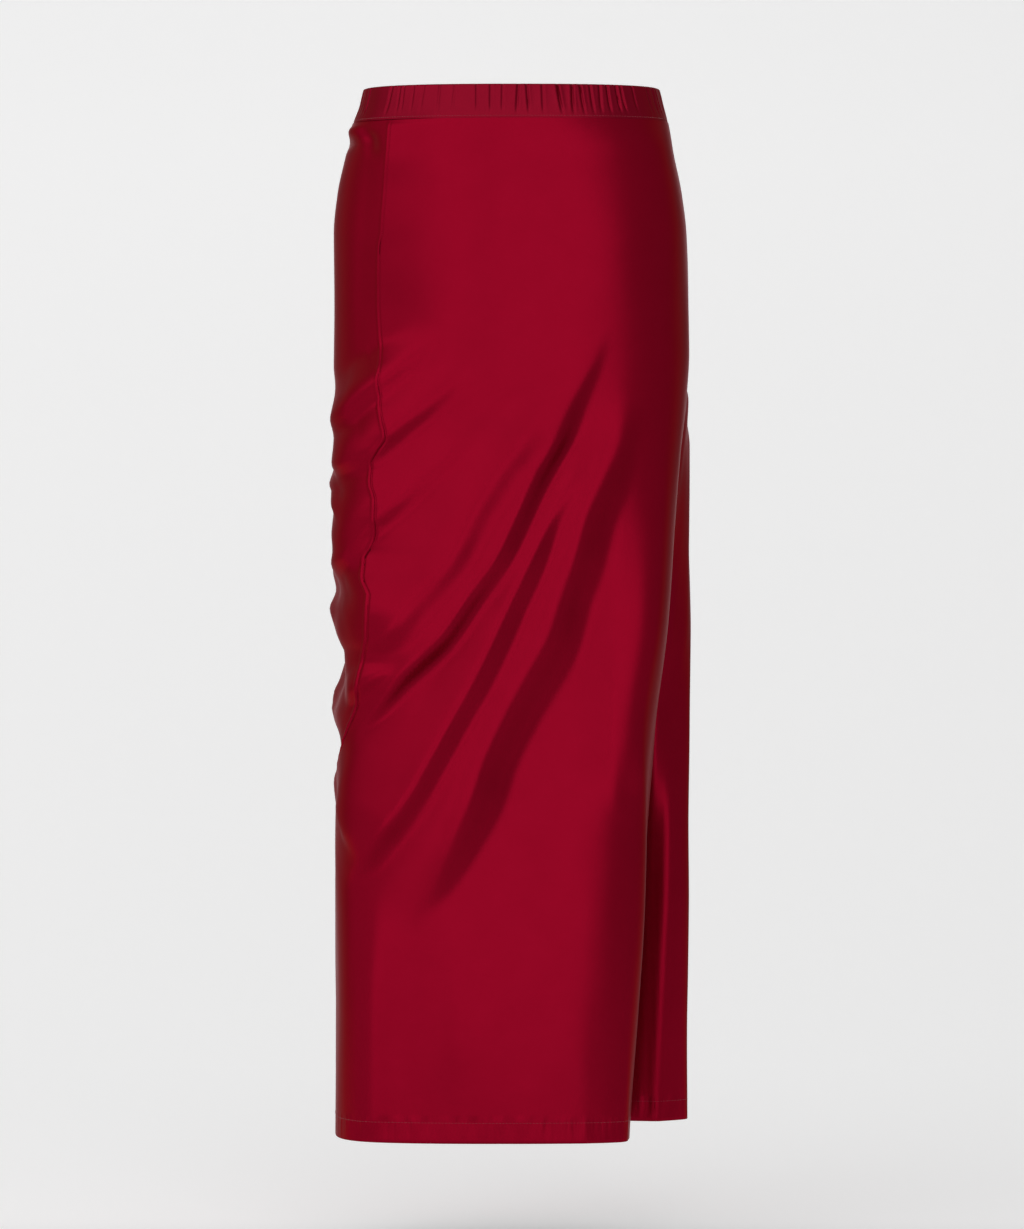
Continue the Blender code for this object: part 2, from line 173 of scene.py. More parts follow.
# Folds, a row each: height, width of the gentle side, width of the steep side, the share of the steep
# width that it has at its ends, the shares of its length over which it rises and dies out, and the
# route of the steep side's middle.
# Front folds run from their upper end down to the gathered seam, in (across, drop).
FRONT_FOLDS = (
    (20.5, 110, 26, 0.50, 0.45, 0.22,
     ((94, 208), (82, 244), (65, 281), (49, 319), (29, 357), (12, 394), (-7, 432), (-33, 469),
      (-59, 507), (-96, 544), (-127, 582), (-150, 605))),
    (20.5, 80, 44, 0.52, 0.25, 0.28,
     ((121, 272), (117, 291), (111, 319), (98, 357), (83, 394), (73, 432), (61, 469), (49, 507),
      (29, 544), (8, 582), (-10, 619), (-23, 657), (-41, 695), (-60, 732), (-82, 766), (-100, 790))),
    (18.5, 95, 31, 0.60, 0.33, 0.18,
     ((75, 310), (64, 357), (42, 394), (26, 432), (9, 469), (-8, 507), (-26, 544), (-47, 582),
      (-67, 619), (-88, 657), (-115, 695), (-135, 722), (-160, 742))),
    (17, 90, 36, 0.80, 0.62, 0.22,
     ((56, 255), (38, 281), (20, 319), (-4, 357), (-26, 394), (-47, 432), (-76, 469), (-106, 507),
      (-130, 526), (-146, 536))),
    (11, 60, 24, 0.80, 0.45, 0.35,
     ((-11, 281), (-28, 304), (-51, 333), (-76, 357), (-105, 385), (-127, 404), (-150, 434),
      (-170, 455), (-190, 466))),
    (12, 60, 24, 0.80, 0.45, 0.30,
     ((-25, 243), (-38, 256), (-63, 281), (-86, 300), (-109, 319), (-132, 338), (-160, 349),
      (-190, 352))),
    (13, 50, 24, 0.80, 0.35, 0.35,
     ((-68, 214), (-89, 244), (-105, 259), (-119, 271), (-135, 282), (-150, 295), (-168, 308),
      (-190, 320))),
    (8, 24, 15, 0.60, 0.50, 0.35,
     ((-100, 530), (-104, 533), (-118, 543), (-135, 556), (-155, 573))),
    (2.5, 28, 26, 1.00, 0.50, 0.10,
     ((-116, 730), (-122, 850), (-126, 980))),
    (1.5, 34, 30, 1.00, 0.50, 0.40,
     ((-40, 760), (-44, 880), (-50, 970))),
)
# Side and back folds run from the seam outwards, in (round, drop).
BACK_FOLDS = (
    (9, 50, 20, 0.60, 0.12, 0.30,
     ((20, 590), (-60, 540), (-140, 455), (-210, 360), (-270, 262), (-300, 205))),
    (8, 46, 26, 0.60, 0.12, 0.30,
     ((10, 680), (-70, 640), (-150, 560), (-220, 455), (-275, 350), (-310, 270))),
    (6, 42, 22, 0.60, 0.12, 0.40,
     ((60, 500), (-20, 455), (-90, 388), (-150, 310), (-190, 240))),
    (5, 36, 18, 0.60, 0.12, 0.40,
     ((80, 395), (10, 360), (-60, 305), (-110, 250))),
    (6, 46, 34, 0.60, 0.20, 0.40,
     ((-60, 780), (-130, 710), (-200, 610), (-260, 500), (-300, 400))),
    (3, 30, 28, 1.00, 0.40, 0.10,
     ((-90, 760), (-96, 870), (-100, 985))),
    (3, 34, 30, 1.00, 0.40, 0.10,
     ((-210, 740), (-218, 860), (-224, 985))),
)

# The front folds die out between these distances behind and before the -X side line, the others
# this far from the gathered seam
FRONT_FADE = (20.0, 90.0)
BACK_FADE = 30.0

# Tucks that the elastic makes across the front of the waistband, a row each: place at the middle of
# the band's height, lean (how far the top lies towards +X of the foot), depth and width.
FRONT_TUCKS = columns("across lean depth width", [
    (-136, 5, 1.1, 1.5), (-116, 6, 1.3, 1.6), (-107, 3, 0.8, 1.3), (-103, 2, 0.8, 1.3),
    (-94, 3, 1.0, 1.3), (-85, 5, 1.0, 1.4), (-69, 3, 1.0, 1.3), (-55, 4, 0.8, 1.3),
    (-33, 1, 0.9, 1.3), (-20, 2, 1.0, 1.4), (-9, 3, 0.8, 1.3), (5, 5, 1.6, 1.4), (15, 1, 1.5, 1.3),
    (29, 3, 1.1, 1.3), (45, -1, 2.1, 1.4), (57, 4, 2.1, 1.4), (66, 1, 1.8, 1.3), (75, 2, 1.5, 1.3),
    (83, 5, 1.6, 1.4), (91, 3, 2.1, 1.4), (100, 2, 2.0, 1.3), (105, 1, 1.9, 1.3), (116, 2, 1.3, 1.4),
    (130, 2, 0.8, 1.4),
])
# A tuck draws the cloth in at its middle and lets it stand out a little beside it: width and height,
# as shares of its own
TUCK_PROFILE = ((1.0, 1.2), (2.6, -0.45))
TUCK_START = 2.0  # above the foot of the band
TUCK_FADE = 13.0
# The tucks round the sides and back, between these limits
BACK_TUCK_SPACING = 10.5
BACK_TUCK_SHARES = (0.6, 1.5)
BACK_TUCK_LEANS = (-2, 5)
BACK_TUCK_DEPTHS = (0.4, 1.3)
BACK_TUCK_WIDTHS = (1.4, 1.9)
TUCK_SEED = 7
# How strongly the tucks show on the inside of the band and on its lap
INSIDE_TUCKS = 0.5
LAP_TUCKS = 0.1

# Stitches: spacing, length and thickness of the thread. Those of the hem stand out by STITCH_RISE,
# and those of the waist run WAIST_STITCHES above the foot of the band.
HEM_STITCH = (3.2, 2.1, 0.38)
WAIST_STITCH = (2.8, 1.8, 0.35)
STITCH_RISE = 0.05
WAIST_STITCHES = 2.0

# The profile of a fold: how soft the corners of its gentle side are, the share of its steep side
# that lies above its route, and where along it the widths reach their full size
RAMP_SOFTNESS = 0.3
FALL_MIDDLE = 0.41
STEEP_OPENS, STEEP_CLOSES = 0.45, 0.3
GENTLE_OPENS, GENTLE_START = 0.5, 0.5
FALL_POWERS = (1.2, 2.0)

# How closely a fold's route is followed: its points, every how many of them is tried first, and the
# steps and share of each step that then lead to the nearest place
ROUTE_POINTS = 160
ROUTE_STRIDE = 8
ROUTE_STEPS = 5
ROUTE_GAIN = 0.8

# Shallow dents all over, as waves between these lengths that lean up to this angle in radians
UNEVEN = 0.7
UNEVEN_SEED = 3
UNEVEN_WAVES = 40
UNEVEN_LENGTHS = (45, 160)
UNEVEN_LEAN = 0.9
UNEVEN_SLANT = 0.6
UNEVEN_MEAN = 12

# How finely the pieces are made. The top rows and the hem rows lie close over these heights, and the
# columns crowd at the seams: pitch there, pitch between them and the run from one to the other, as
# shares of the panel's width.
TOP_SPREAD = 14
HEM_SPREAD = 3
FRONT_PITCH = (0.0016, 0.008, 0.09)
BACK_PITCH = (0.0018, 0.010, 0.10)
TOP_ROWS = 8
PANEL_ROWS = 240
HEM_ROWS = 5
FOOT_ROWS = 6
FOOT_STEPS = 4
FRONT_COLUMNS = 176
BACK_COLUMNS = 136
BAND_COLUMNS = 1250
BAND_SIDE_ROWS = 14
BAND_TOP_STEPS = 6
SHARP_EDGE = math.radians(55)

# The view, fitted to the picture's frame of 1024 by 1229
VIEW_DISTANCE = 5500.0
EYE_DROP = 334.0
AIM_DROP = 486.0
FRAME_HEIGHT = 1179.5

# The floor, and how far its sheet reaches forward, back to the bend, up and to each side, in metres
FLOOR_DROP = 1092.0
SHEET_FRONT = -1.2
SHEET_BEND = 1.6
SHEET_RADIUS = 1.2
SHEET_TOP = 3.0
SHEET_HALF = 1.7
SHEET_STEPS = 16

# The softboxes, a row each: turn in degrees (0 in front, minus towards -X), then distance, height,
# width and tallness in metres, and power in watts
WORLD_STRENGTH = 0.36
SOFTBOXES = (
    ("front_box", 5, 3.0, 0.0, 1.5, 4.2, 19.3),
    ("front_fill", -26, 3.0, 0.0, 1.4, 4.2, 16.8),
    ("left_low", -70, 3.0, 0.0, 3.0, 4.2, 10.2),
    ("left_high", -62, 3.0, 1.65, 2.8, 2.7, 14.0),
    ("right_rim", 125, 3.0, 0.0, 1.6, 4.2, 2.5),
    ("left_rim", -128, 3.0, 0.0, 1.4, 4.2, 4.0),
    ("top_box", -15, 1.9, 2.6, 3.0, 1.6, 15.0),
)


# ---------------------------------------------------------------- form

def through(stations, values, at):
    """A smooth curve through a table's values that never swings past them."""
    values = np.asarray(values, float)
    flat = (1,) * (values.ndim - 1)
    secants = np.diff(values, axis=0) / np.diff(stations).reshape(-1, *flat)
    product = secants[:-1] * secants[1:]
    total = np.where(product > 0, secants[:-1] + secants[1:], 1.0)
    middle = np.where(product > 0, 2 * product / total, 0.0)
    slopes = np.concatenate([secants[:1], middle, secants[-1:]])
    i = np.clip(np.searchsorted(stations, at) - 1, 0, len(stations) - 2)
    span = (stations[i + 1] - stations[i]).reshape(np.shape(at) + flat)
    u = np.clip((at - stations[i]).reshape(np.shape(at) + flat) / span, 0.0, 1.0)
    rise = values[i + 1] - values[i]
    start, end = slopes[i] * span, slopes[i + 1] * span
    return values[i] + u * (start + u * (3 * rise - 2 * start - end + u * (start + end - 2 * rise)))


def ease(u):
    """0 to 1 with a soft start and end."""
    u = np.clip(u, 0.0, 1.0)
    return u * u * (3 - 2 * u)


PROFILE_PLACES = np.linspace(0.0, 1.0, 401)
RAMP_SLOPES = ease(PROFILE_PLACES / RAMP_SOFTNESS) * ease((1 - PROFILE_PLACES) / RAMP_SOFTNESS)
RAMP_HEIGHTS = np.cumsum(RAMP_SLOPES) / RAMP_SLOPES.sum()
FALL_SLOPES = PROFILE_PLACES ** FALL_POWERS[0] * (1 - PROFILE_PLACES) ** FALL_POWERS[1]
FALL_HEIGHTS = np.cumsum(FALL_SLOPES) / FALL_SLOPES.sum()


def ramp(u):
    """0 to 1 at an even slope, with soft corners."""
    return np.interp(u, PROFILE_PLACES, RAMP_HEIGHTS)


def fall(u):
    """0 to 1, steepest before the middle and dying out softly."""
    return np.interp(u, PROFILE_PLACES, FALL_HEIGHTS)


def plain_ring(turns, drop):
    """The body of the skirt in plan at one drop, without the flute."""
    left, right, front, back = (through(SECTIONS["drop"], SECTIONS[side], drop)
                                for side in ("left", "right", "front", "back"))
    cosine, sine = np.cos(np.radians(turns)), np.sin(np.radians(turns))
    left_corner, right_corner = (through(SECTIONS["drop"], SECTIONS[corner], drop)
                                 for corner in ("left_corner", "right_corner"))
    power = 2 / np.where(sine > 0, BACK_CORNERS, np.where(cosine < 0, left_corner, right_corner))
    across = np.where(cosine > 0, right, left) * np.sign(cosine) * np.abs(cosine) ** power
    depth = np.where(sine > 0, back, front) * np.sign(sine) * np.abs(sine) ** power
    return np.stack([across, depth], axis=-1)


def flute_shifts():
    """How far the flute moves the plain ring at its stations, for each of its sections."""
    turns = np.array(FLUTE_TURNS, float)
    still = np.zeros((len(turns), 2))
    moved = [np.array(places) - plain_ring(turns, drop) for drop, places in FLUTE_SECTIONS.items()]
    return np.array([FLUTE_TOP - 50, FLUTE_TOP, *FLUTE_SECTIONS], float), np.stack([still, still, *moved])


FLUTE_DROPS, FLUTE_SHIFTS = flute_shifts()
FLUTE_STATIONS = np.array([FLUTE_FRONT - 10, FLUTE_FRONT, *FLUTE_TURNS, FLUTE_BACK, FLUTE_BACK + 10], float)


def ring(drop):
    """The whole ring in plan at one drop, and the distance round it from the -X side line."""
    still = np.zeros((2, 2))
    shifts = np.vstack([still, through(FLUTE_DROPS, FLUTE_SHIFTS, drop), still])
    shift = np.stack([through(FLUTE_STATIONS, shifts[:, axis], RING_TURNS) for axis in (0, 1)], axis=-1)
    points = plain_ring(RING_TURNS, drop) + shift
    lengths = np.linalg.norm(np.diff(points, axis=0), axis=1)
    return points, np.concatenate([[0.0], np.cumsum(lengths)])


def round_of(across, drop):
    """Distance round the body of a place seen from the front; past the side line it runs on."""
    points, rounds = ring(drop)
    side = points[0, 0]
    return np.interp(across, points[SEEN_TURNS, 0], rounds[SEEN_TURNS]) + min(across - side, 0.0)


def route_line(route):
    """A fold's route as a close line of points, with its directions and the lengths along it."""
    route = np.array(route, float)
    steps = np.linalg.norm(np.diff(route, axis=0), axis=1)
    stations = np.concatenate([[0.0], np.cumsum(steps)])
    line = through(stations, route, np.linspace(0, stations[-1], ROUTE_POINTS))
    ways = np.gradient(line, axis=0)
    soft = np.array([0.1, 0.2, 0.4, 0.2, 0.1])
    ways = np.stack([np.convolve(np.pad(way, 2, mode="edge"), soft, "valid") for way in ways.T], axis=-1)
    walked = np.concatenate([[0.0], np.cumsum(np.linalg.norm(np.diff(line, axis=0), axis=1))])
    return line, ways / np.linalg.norm(ways, axis=1)[:, None], walked


def fold_height(fold, places):
    """Height of one fold at places given as (round, drop)."""
    height, gentle, steep, fan, start, end, route = fold
    line, ways, walked = route_line(route)
    reach = gentle + steep
    near = ((places > line.min(axis=0) - reach) & (places < line.max(axis=0) + reach)).all(axis=1)
    close = places[near]
    nearest = np.linalg.norm(close[:, None] - line[None, ::ROUTE_STRIDE], axis=-1).argmin(axis=1)
    along = walked[::ROUTE_STRIDE][nearest]
    for step in range(ROUTE_STEPS):
        point = np.stack([np.interp(along, walked, line[:, axis]) for axis in (0, 1)], axis=-1)
        way = np.stack([np.interp(along, walked, ways[:, axis]) for axis in (0, 1)], axis=-1)
        offset = close - point
        along = np.clip(along + ROUTE_GAIN * (offset * way).sum(-1), 0, walked[-1])
    off = way[:, 1] * offset[:, 0] - way[:, 0] * offset[:, 1]
    share = along / walked[-1]
    steep = steep * (fan + (1 - fan) * ease(share / STEEP_OPENS) * ease((1 - share) / STEEP_CLOSES))
    gentle = gentle * (GENTLE_START + (1 - GENTLE_START) * ease(share / GENTLE_OPENS))
    off = off + steep * FALL_MIDDLE
    profile = np.where(off < 0, ramp(1 + off / gentle), 1 - fall(off / steep))
    heights = np.zeros(len(places))
    heights[near] = height * profile * ease(share / start) * ease((1 - share) / end)
    return heights


def fold_heights(rounds, drops, aways):
    """Height of all the folds together. The front ones die out round the -X side, and those of the
    side and back die out at the gathered seam."""
    places = np.stack([rounds.ravel(), drops.ravel()], axis=-1)
    front = sum(fold_height((*sizes, tuple((round_of(across, drop), drop) for across, drop in route)), places)
                for *sizes, route in FRONT_FOLDS)
    back = sum(fold_height(fold, places) for fold in BACK_FOLDS)
    before = ease((rounds + FRONT_FADE[0]) / (FRONT_FADE[0] + FRONT_FADE[1]))
    behind = ease(np.where(aways > 0, 0.0, -aways / BACK_FADE))
    return before * front.reshape(rounds.shape) + behind * back.reshape(rounds.shape)


def left_seam_round(drop):
    """Where the gathered seam runs, as a distance round."""
    return through(LEFT_SEAM["drop"], LEFT_SEAM["round"], drop)


def seam_crease(away, drops):
    """How far the cloth stands out at a distance from the gathered seam."""
    height, front, side = (through(SEAM_CREASE["drop"], SEAM_CREASE[name], drops)[:, None]
                           for name in ("height", "front", "side"))
    reach = np.where(away > 0, front, side)
    return height * np.clip(1 - np.abs(away) / reach, 0, 1) ** CREASE_POWER


def seam_detail(away, drops):
    """The seam's ridge and groove, and the small puckers along its gathered stretch."""
    strength = through(GATHERING["drop"], GATHERING["strength"], drops)[:, None]
    line = sum(height * np.exp(-((away - place) / width) ** 2) for place, width, height in SEAM_PROFILE)
    turns = 2 * math.pi * drops[:, None] / PUCKER_SPACING
    waves = np.sin(turns) + np.sin(turns / PUCKER_BEAT + PUCKER_PHASE)
    pucker = PUCKER_HEIGHT * strength ** 3 * waves * np.exp(-np.abs(away) / PUCKER_REACH)
    return strength * line + pucker


def puff_height(rounds, level):
    """The small puff of loose cloth just under the waistband near the -X side, and its crease."""
    heights = np.zeros(rounds.shape)
    for height, place, drop, width, length, lean in zip(*PUFFS.values()):
        across = rounds - place - lean * (level - drop)
        heights += height * np.exp(-(across / width) ** 2 - ((level - drop) / length) ** 2)
    return heights


def side_swell(rounds, drops):
    """How far the -X side swells out or draws in."""
    out, reach = (through(SIDE_SWELLS["drop"], SIDE_SWELLS[name], drops)[:, None]
                  for name in ("out", "reach"))
    return out * np.exp(-(rounds / reach) ** 2)


def unevenness(places, drops):
    """Soft, shallow dents all over that keep the cloth from looking drawn."""
    rng = np.random.default_rng(UNEVEN_SEED)
    dents = np.zeros(len(places))
    for wave in range(UNEVEN_WAVES):
        length = rng.uniform(*UNEVEN_LENGTHS)
        lean = rng.uniform(-UNEVEN_LEAN, UNEVEN_LEAN)
        way = np.array([math.cos(lean), UNEVEN_SLANT * math.sin(lean)])
        turn = rng.uniform(0, math.pi)
        sideways = places @ np.array([math.cos(turn), math.sin(turn)])
        phase = rng.uniform(0, 2 * math.pi)
        dents += length * np.sin(2 * math.pi * (way[0] * sideways + way[1] * drops) / length + phase)
    return UNEVEN * dents / (UNEVEN_MEAN * UNEVEN_WAVES)


def spread(length, count, fine, plain, blend):
    """Places along a length, close together near both ends."""
    fine_run = np.linspace(0, length, 2001)
    from_end = np.minimum(fine_run, length - fine_run)
    pitch = fine + (plain - fine) * ease(from_end / blend)
    walked = np.concatenate([[0.0], np.cumsum(1 / pitch[:-1])])
    return np.interp(np.linspace(0, walked[-1], count + 1), walked, fine_run)


def plan_at(points, lengths, run):
    """Plan places and outward directions at distances round one ring."""
    steps = np.gradient(points, axis=0)
    normals = np.stack([steps[:, 1], -steps[:, 0]], axis=-1)
    normals /= np.linalg.norm(normals, axis=1)[:, None]
    wrapped = np.mod(run, lengths[-1])
    place = np.stack([np.interp(wrapped, lengths, points[:, axis]) for axis in (0, 1)], axis=-1)
    out = np.stack([np.interp(wrapped, lengths, normals[:, axis]) for axis in (0, 1)], axis=-1)
    return place, out / np.linalg.norm(out, axis=1)[:, None]


def outward(grid):
    """Outward normals of a grid that closes on itself round the body."""
    round_step = np.roll(grid, -1, axis=1) - np.roll(grid, 1, axis=1)
    down_step = np.gradient(grid, axis=0)
    normals = np.cross(down_step, round_step)
    return normals / np.linalg.norm(normals, axis=2)[..., None]


# ---------------------------------------------------------------- meshes

def solid_mesh(name, points, faces, places, material):
    """A smooth mesh in metres, with a UV map in metres of cloth (round, drop)."""
    mesh = bpy.data.meshes.new(name)
    mesh.from_pydata((points * MM).tolist(), [], faces)
    layer = mesh.uv_layers.new(name="cloth")
    corners = np.empty(len(mesh.loops), dtype=np.int32)
    mesh.loops.foreach_get("vertex_index", corners)
    layer.data.foreach_set("uv", (places[corners] * MM).ravel())
    mesh.shade_smooth()
    mesh.set_sharp_from_angle(angle=SHARP_EDGE)
    mesh.materials.append(material)
    piece = bpy.data.objects.new(name, mesh)
    bpy.context.scene.collection.objects.link(piece)
    return piece


def rolled_faces(rows, count, closed):
    """Faces of a grid whose rows run down the outside, round the edge and up the inside again."""
    faces = []
    for row in range(rows):
        below = (row + 1) % rows
        for column in range(count if closed else count - 1):
            beside = (column + 1) % count
            faces.append((row * count + column, below * count + column,
                          below * count + beside, row * count + beside))
    if not closed:
        faces.append([row * count for row in range(rows)][::-1])
        faces.append([row * count + count - 1 for row in range(rows)])
    return faces


def cloth_surface():
    """Outer points of both panels, once round from the gathered seam through the front, with the
    distance round and the drop of each."""
    top = BAND_FOOT + SEAM_GAP / 2
    stitched = HEM - HEM_DEPTH
    above, below = stitched - HEM_SPREAD, stitched + HEM_SPREAD
    drops = np.concatenate([np.linspace(top, top + TOP_SPREAD, TOP_ROWS, endpoint=False),
                            np.linspace(top + TOP_SPREAD, above, PANEL_ROWS, endpoint=False),
                            np.linspace(above, below, HEM_ROWS, endpoint=False),
                            np.linspace(below, HEM - HEM_CLOTH / 2, FOOT_ROWS)])
    front_share = spread(1.0, FRONT_COLUMNS, *FRONT_PITCH)
    back_share = spread(1.0, BACK_COLUMNS, *BACK_PITCH)
    places, outs, rounds, aways = [], [], [], []
    for drop in drops:
        points, lengths = ring(drop)
        left = left_seam_round(drop)
        right = lengths[-1] - through(RIGHT_SEAM["drop"], RIGHT_SEAM["back"], drop)
        front = left + (right - left) * front_share
        back = right - lengths[-1] + (left - right + lengths[-1]) * back_share
        run = np.concatenate([front[:-1], back[:-1]])
        place, out = plan_at(points, lengths, run)
        places.append(place)
        outs.append(out)
        rounds.append(run)
        aways.append(run - left)
    rounds, aways = np.array(rounds), np.array(aways)
    level = np.repeat(drops[:, None], rounds.shape[1], axis=1)
    whole = ring(WRAP_DROP)[1][-1]
    aways = np.where(aways > whole / 2, aways - whole, aways)
    heights = fold_heights(rounds, level, aways) + seam_crease(aways, drops)
    heights += seam_detail(aways, drops) + side_swell(rounds, drops)
    heights += puff_height(rounds, level)
    heights *= WAIST_HOLD + (1 - WAIST_HOLD) * ease((level - BAND_FOOT) / WAIST_FADE)
    heights += unevenness(np.array(places).reshape(-1, 2), level.ravel()).reshape(level.shape)
    plan = np.array(places) + heights[..., None] * np.array(outs)
    return np.dstack([plan, -level]), rounds, level


def panel_piece(name, surface, normals, rounds, level, part, material):
    """One panel as a thin shell with its hem turned up inside."""
    outer, outs = surface[:, part], normals[:, part]
    seam_way = {0: outer[:, 1] - outer[:, 0], -1: outer[:, -2] - outer[:, -1]}
    outer = outer.copy()
    for edge, way in seam_way.items():
        outer[:, edge] += way / np.linalg.norm(way, axis=1)[:, None] * SEAM_GAP / 2
    drops = level[:, 0]
    thickness = np.where(drops > HEM - HEM_DEPTH - HEM_EDGE, HEM_CLOTH, JERSEY)
    inner = outer - outs * thickness[:, None, None]
    inner[..., 2] = outer[..., 2]
    foot = []
    for step in range(1, FOOT_STEPS):
        angle = math.pi * step / FOOT_STEPS
        share = (1 - math.cos(angle)) / 2
        row = outer[-1] + (inner[-1] - outer[-1]) * share
        row[:, 2] -= math.sin(angle) * HEM_CLOTH / 2
        foot.append(row)
    points = np.concatenate([outer, np.array(foot), inner[::-1]])
    flat = np.stack([rounds[:, part], level[:, part]], axis=-1)
    places = np.concatenate([flat, np.repeat(flat[-1:], len(foot), axis=0), flat[::-1]])
    rows, count = points.shape[:2]
    faces = rolled_faces(rows, count, closed=False)
    return solid_mesh(name, points.reshape(-1, 3), faces, places.reshape(-1, 2), material)


def tuck_table():
    """All the waistband's tucks: place round, lean, depth and width."""
    rng = np.random.default_rng(TUCK_SEED)
    front = [(float(round_of(across, 0.0)), lean, depth, width)
             for across, lean, depth, width in zip(*FRONT_TUCKS.values())]
    last = max(place for place, *_ in front)
    whole = ring(0.0)[1][-1]
    first = min(place for place, *_ in front)
    rest = []
    place = last + BACK_TUCK_SPACING
    while place < whole + first - BACK_TUCK_SPACING / 2:
        rest.append((place, rng.uniform(*BACK_TUCK_LEANS), rng.uniform(*BACK_TUCK_DEPTHS),
                     rng.uniform(*BACK_TUCK_WIDTHS)))
        place += BACK_TUCK_SPACING * rng.uniform(*BACK_TUCK_SHARES)
    return front + rest


def tuck_depth(share, drop, whole):
    """How far the tucks draw the waistband in, at shares of its round and one drop."""
    run = share * whole
    inward = np.zeros(len(run))
    for place, lean, depth, width in TUCKS:
        middle = place - lean * drop / (BAND_FOOT - BAND_TOP)
        gap = np.mod(run - middle + whole / 2, whole) - whole / 2
        inward += depth * sum(high * np.exp(-(gap / (wide * width)) ** 2) for wide, high in TUCK_PROFILE)
    return inward


def band_row(drop, inside=0.0, strength=1.0):
    """One row of the gathered casing, drawn in by its tucks, at a depth inside the outer face."""
    foot = BAND_FOOT - SEAM_GAP / 2
    share = np.linspace(0, 1, BAND_COLUMNS, endpoint=False)
    points, lengths = ring(drop)
    place, out = plan_at(points, lengths, share * lengths[-1])
    fade = ease((foot - TUCK_START - drop) / TUCK_FADE)
    belly = BAND_BELLY * math.sin(math.pi * (foot - drop) / (foot - BAND_TOP)) if inside == 0 else 0.0
    groove = BAND_GROOVE * math.exp(-((foot - drop) / GROOVE_REACH) ** 2) if inside == 0 else 0.0
    height = belly - groove - inside - strength * fade * tuck_depth(share, drop, ring(0.0)[1][-1])
    return np.column_stack([place + out * height[:, None], np.full(BAND_COLUMNS, -drop)])


def waistband_piece(material):
    """The gathered casing: up the outside, over the soft top edge and down the inside, with its seam
    allowance lapping behind the panels."""
    half = BAND_CLOTH / 2
    foot = BAND_FOOT - SEAM_GAP / 2
    side = np.linspace(foot, BAND_TOP + half, BAND_SIDE_ROWS)
    share = np.linspace(0, 1, BAND_COLUMNS, endpoint=False)
    whole = ring(0.0)[1][-1]
    profile = [(drop, 0.0, 1.0) for drop in side]
    for step in range(1, BAND_TOP_STEPS):
        angle = math.pi * step / BAND_TOP_STEPS
        profile.append((BAND_TOP + half - half * math.sin(angle), half * (1 - math.cos(angle)),
                        1 - (1 - INSIDE_TUCKS) * step / BAND_TOP_STEPS))
    profile += [(drop, BAND_CLOTH, INSIDE_TUCKS) for drop in side[::-1]]
    profile += [(foot + BAND_LAP, BAND_CLOTH, LAP_TUCKS),
                (foot + BAND_LAP, BAND_CLOTH - JERSEY, LAP_TUCKS),
                (foot + LAP_START, BAND_CLOTH - JERSEY, LAP_TUCKS)]
    rows = [band_row(*stop) for stop in profile]
    places = [np.column_stack([share * whole, np.full(BAND_COLUMNS, drop + inside)])
              for drop, inside, strength in profile]
    points = np.array(rows)[::-1]
    faces = rolled_faces(len(rows), BAND_COLUMNS, closed=True)
    return solid_mesh("waistband_cloth", points.reshape(-1, 3), faces,
                      np.array(places)[::-1].reshape(-1, 2), material)


# ---------------------------------------------------------------- finishes

class Tree:
    """A node tree with short calls to add, set and link its nodes."""

    def __init__(self, tree):
        self.tree = tree

    def add(self, kind, settings=(), **inputs):
        node = self.tree.nodes.new(kind)
        for key, value in dict(settings).items():
            setattr(node, key, value)
        for key, value in inputs.items():
            self.put(node.inputs[key.replace("_", " ")], value)
        return node

    def put(self, socket, value):
        if isinstance(value, bpy.types.NodeSocket):
            self.tree.links.new(value, socket)
        else:
            socket.default_value = value

    def times(self, first, second):
        node = self.add("ShaderNodeMath", {"operation": "MULTIPLY"})
        self.put(node.inputs[0], first)
        self.put(node.inputs[1], second)
        return node.outputs[0]


def new_material(name):
    """An empty material and its node tree."""
    material = bpy.data.materials.new(name)
    material.use_nodes = True
    material.node_tree.nodes.clear()
    return material, Tree(material.node_tree)


RED_LIT = (0.285, 0.0024, 0.018, 1.0)
RED_DEEP = (0.262, 0.0019, 0.0155, 1.0)
BAND_LIT = (0.26, 0.0052, 0.021, 1.0)
BAND_DEEP = (0.235, 0.0040, 0.018, 1.0)
THREAD_RED = (0.30, 0.008, 0.028, 1.0)
GLOSS_SPREAD = 0.03
HEM_PUCKER_REACH = 9.0  # above the hem's stitches


